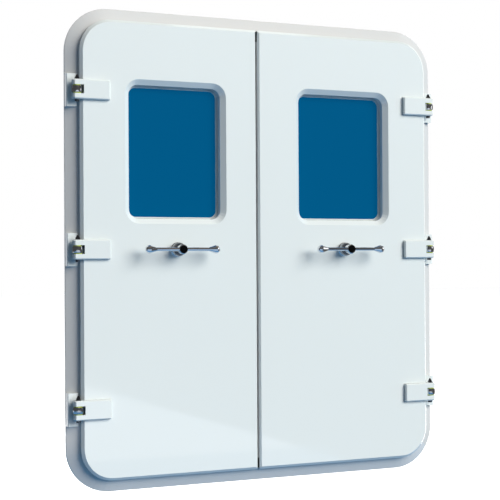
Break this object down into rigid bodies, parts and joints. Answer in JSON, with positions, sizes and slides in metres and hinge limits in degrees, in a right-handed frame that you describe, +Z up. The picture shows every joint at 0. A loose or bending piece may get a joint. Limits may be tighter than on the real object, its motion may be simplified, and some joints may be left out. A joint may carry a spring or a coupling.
{
  "type": "marine door",
  "caption": "Two-leaf weathertight marine door with round corners, a window and a two-armed lever in each leaf, fork-and-eye hinges and a flanged coaming frame.",
  "frame": {"origin": "on the flange's back face, in the middle of the sill", "axes": "+X to the right seen from outside, +Y into the wall, +Z up"},
  "size_m": [1.835, 0.25, 2.098],
  "materials": {
    "white_paint": "gloss white enamel",
    "window_glass": "blue tinted, reflective",
    "polished_steel": "polished",
    "dark_steel": "dark, satin",
    "chrome": "mirror polish",
    "brass": "machined",
    "black_plastic": "black end cap",
    "seal_rubber": "matt black"
  },
  "bodies": {
    "frame": {"frame_flange": "white_paint", "coaming_sleeve": "white_paint", "left_bottom_hinge_bush": "brass", "left_bottom_hinge_eye": "polished_steel", "left_bottom_hinge_pad": "white_paint", "left_middle_hinge_bush": "brass", "left_middle_hinge_eye": "polished_steel", "left_middle_hinge_pad": "white_paint", "left_top_hinge_bush": "brass", "left_top_hinge_eye": "polished_steel", "left_top_hinge_pad": "white_paint", "right_bottom_hinge_bush": "brass", "right_bottom_hinge_eye": "polished_steel", "right_bottom_hinge_pad": "white_paint", "right_middle_hinge_bush": "brass", "right_middle_hinge_eye": "polished_steel", "right_middle_hinge_pad": "white_paint", "right_top_hinge_bush": "brass", "right_top_hinge_eye": "polished_steel", "right_top_hinge_pad": "white_paint"},
    "left_leaf": {"left_bottom_hinge_arm": "white_paint", "left_bottom_hinge_pin": "dark_steel", "left_inner_handle_boss": "chrome", "left_inner_window_trim": "white_paint", "left_leaf_panel": "white_paint", "left_leaf_seal": "seal_rubber", "left_middle_hinge_arm": "white_paint", "left_middle_hinge_pin": "dark_steel", "left_outer_handle_boss": "chrome", "left_top_hinge_arm": "white_paint", "left_top_hinge_pin": "dark_steel", "left_window_glass": "window_glass"},
    "right_leaf": {"meeting_strip": "seal_rubber", "right_bottom_hinge_arm": "white_paint", "right_bottom_hinge_pin": "dark_steel", "right_inner_handle_boss": "chrome", "right_inner_window_trim": "white_paint", "right_leaf_panel": "white_paint", "right_leaf_seal": "seal_rubber", "right_middle_hinge_arm": "white_paint", "right_middle_hinge_pin": "dark_steel", "right_outer_handle_boss": "chrome", "right_top_hinge_arm": "white_paint", "right_top_hinge_pin": "dark_steel", "right_window_glass": "window_glass"},
    "left_handle": {"left_inner_handle": "chrome", "left_inner_handle_cap": "black_plastic", "left_outer_handle": "chrome", "left_outer_handle_cap": "black_plastic"},
    "right_handle": {"right_inner_handle": "chrome", "right_inner_handle_cap": "black_plastic", "right_outer_handle": "chrome", "right_outer_handle_cap": "black_plastic"}
  },
  "joints": [
    {"name": "left_leaf_hinge", "type": "hinge", "parent": "frame", "child": "left_leaf", "pos_m": [-0.8787, -0.068, 1.00365], "axis": [0, 0, -1], "range_deg": [0, 170]},
    {"name": "right_leaf_hinge", "type": "hinge", "parent": "frame", "child": "right_leaf", "pos_m": [0.8787, -0.068, 1.00365], "axis": [0, 0, 1], "range_deg": [0, 170]},
    {"name": "left_handle_turn", "type": "hinge", "parent": "left_leaf", "child": "left_handle", "pos_m": [-0.42415, -0.068, 1.00365], "axis": [0, 1, 0], "range_deg": [0, 90]},
    {"name": "right_handle_turn", "type": "hinge", "parent": "right_leaf", "child": "right_handle", "pos_m": [0.41065, -0.068, 1.00365], "axis": [0, -1, 0], "range_deg": [0, 90]}
  ]
}
